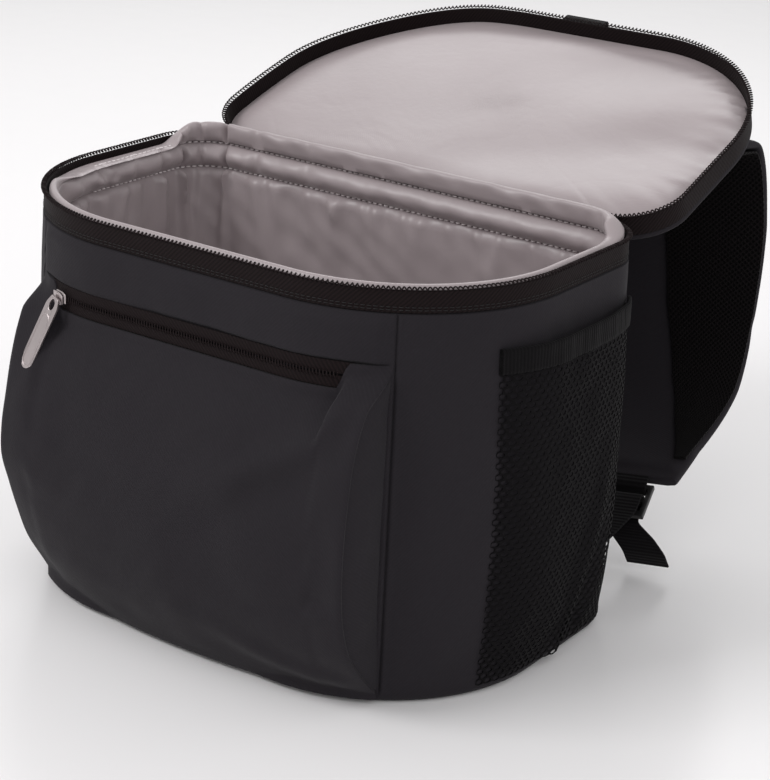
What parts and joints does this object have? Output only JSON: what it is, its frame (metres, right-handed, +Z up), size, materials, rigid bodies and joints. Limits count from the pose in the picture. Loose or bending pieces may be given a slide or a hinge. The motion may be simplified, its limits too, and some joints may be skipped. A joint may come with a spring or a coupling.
{
  "type": "cooler backpack",
  "caption": "Insulated cooler backpack with its lid open, silver padded lining, front zip pocket, side net pockets and padded shoulder straps.",
  "frame": {"origin": "centre of the flat base, on the surface that the bag stands on", "axes": "+Z up, -Y the way that the front pocket faces, +X to the right seen from the front"},
  "size_m": [0.3224, 0.3946, 0.2785],
  "materials": {
    "charcoal_fabric": "matte woven polyester",
    "silver_lining": "satin silver lining",
    "black_tape": "ribbed zip tape",
    "zip_coil": "moulded coil",
    "black_net": "hexagonal net",
    "black_elastic": "ribbed elastic",
    "black_air_mesh": "padded air mesh",
    "black_webbing": "ribbed webbing",
    "black_plastic": "satin moulded",
    "zip_metal": "satin"
  },
  "bodies": {
    "bag": {"body_shell": "charcoal_fabric", "liner": "silver_lining", "rim_zip_tape": "black_tape", "rim_zip_coil": "zip_coil", "main_zip_slider": "zip_metal", "hinge_strip": "black_tape", "lid_panel": "charcoal_fabric", "lid_lining": "silver_lining", "lid_zip_tape": "black_tape", "lid_zip_coil": "zip_coil", "lid_pull_loop": "black_webbing", "front_pocket_panel": "charcoal_fabric", "pocket_gusset_right": "charcoal_fabric", "pocket_gusset_left": "charcoal_fabric", "pocket_zip_tape": "black_tape", "pocket_zip_coil": "zip_coil", "pocket_zip_slider": "zip_metal", "back_panel": "charcoal_fabric", "net_pocket_right": "black_net", "net_band_right": "black_elastic", "strap_pad_right": "charcoal_fabric", "strap_air_mesh_right": "black_air_mesh", "strap_tab_right": "black_webbing", "ladder_lock_right": "black_plastic", "strap_webbing_right": "black_webbing", "net_pocket_left": "black_net", "net_band_left": "black_elastic", "strap_pad_left": "charcoal_fabric", "strap_air_mesh_left": "black_air_mesh", "strap_tab_left": "black_webbing", "ladder_lock_left": "black_plastic", "strap_webbing_left": "black_webbing"},
    "puller": {"pocket_zip_puller": "zip_metal"}
  },
  "joints": [
    {"name": "puller_swing", "type": "hinge", "parent": "bag", "child": "puller", "pos_m": [-0.08501, -0.09649, 0.1708], "axis": [-0.9291, 0.2798, 0.2419], "range_deg": [0, 120]}
  ]
}
